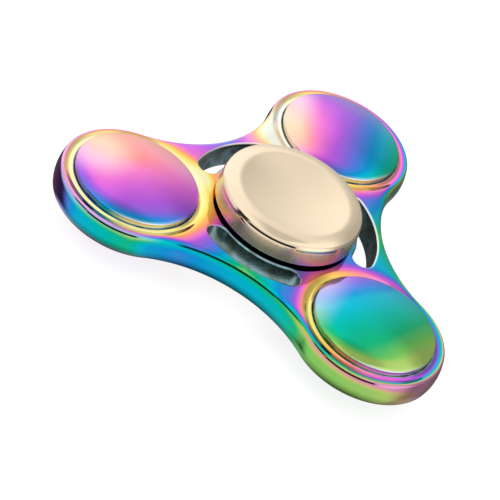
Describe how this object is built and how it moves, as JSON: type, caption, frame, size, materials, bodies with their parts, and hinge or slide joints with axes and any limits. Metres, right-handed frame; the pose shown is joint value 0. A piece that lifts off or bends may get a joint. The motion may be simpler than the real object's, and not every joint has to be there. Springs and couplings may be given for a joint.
{
  "type": "fidget spinner",
  "caption": "Lobed metal fidget spinner with domed weights, curved slots round the hub and dished finger caps on a ball bearing.",
  "frame": {"origin": "centre of the hub on the spin axis, halfway through the body's thickness", "axes": "+Z along the spin axis out of the upper finger cap, +Y from the hub to one lobe, the other two lobes at 120 degrees"},
  "size_m": [0.0682, 0.0625, 0.0144],
  "materials": {
    "rainbow_body": "cast zinc alloy, polished and coated with a rainbow interference film",
    "rainbow_dome_1": "polished metal with a rainbow film, yellow through magenta to green",
    "rainbow_dome_2": "polished metal with a rainbow film, peach through magenta to blue",
    "rainbow_dome_3": "polished metal with a rainbow film, lavender through cyan to green",
    "champagne_cap": "champagne-gold plating, satin top and polished sides",
    "bearing_steel": "ground bearing steel",
    "ball_steel": "polished balls",
    "cage_steel": "pressed steel",
    "shield_steel": "rolled sheet, satin",
    "clip_steel": "spring wire",
    "weight_steel": "turned steel"
  },
  "bodies": {
    "hub": {"cap_top": "champagne_cap", "cap_bottom": "champagne_cap", "bearing_inner_race": "bearing_steel"},
    "cage": {"bearing_cage": "cage_steel", "bearing_balls": "ball_steel"},
    "rotor": {"frame": "rainbow_body", "bearing_outer_race": "bearing_steel", "bearing_shield_top": "shield_steel", "bearing_shield_bottom": "shield_steel", "shield_clip_top": "clip_steel", "shield_clip_bottom": "clip_steel", "dome_top_1": "rainbow_dome_1", "dome_top_2": "rainbow_dome_2", "dome_top_3": "rainbow_dome_3", "dome_bottom_1": "rainbow_dome_1", "dome_bottom_2": "rainbow_dome_2", "dome_bottom_3": "rainbow_dome_3", "counterweight_1": "weight_steel", "counterweight_2": "weight_steel", "counterweight_3": "weight_steel"}
  },
  "joints": [
    {"name": "frame_spin", "type": "hinge", "parent": "hub", "child": "rotor", "pos_m": [0, 0, 0], "axis": [0, 0, 1], "continuous": true},
    {"name": "cage_spin", "type": "hinge", "parent": "hub", "child": "cage", "pos_m": [0, 0, 0], "axis": [0, 0, 1], "continuous": true}
  ],
  "couplings": [
    {"joint": "cage_spin", "follows": "frame_spin", "ratio": 0.58333}
  ]
}
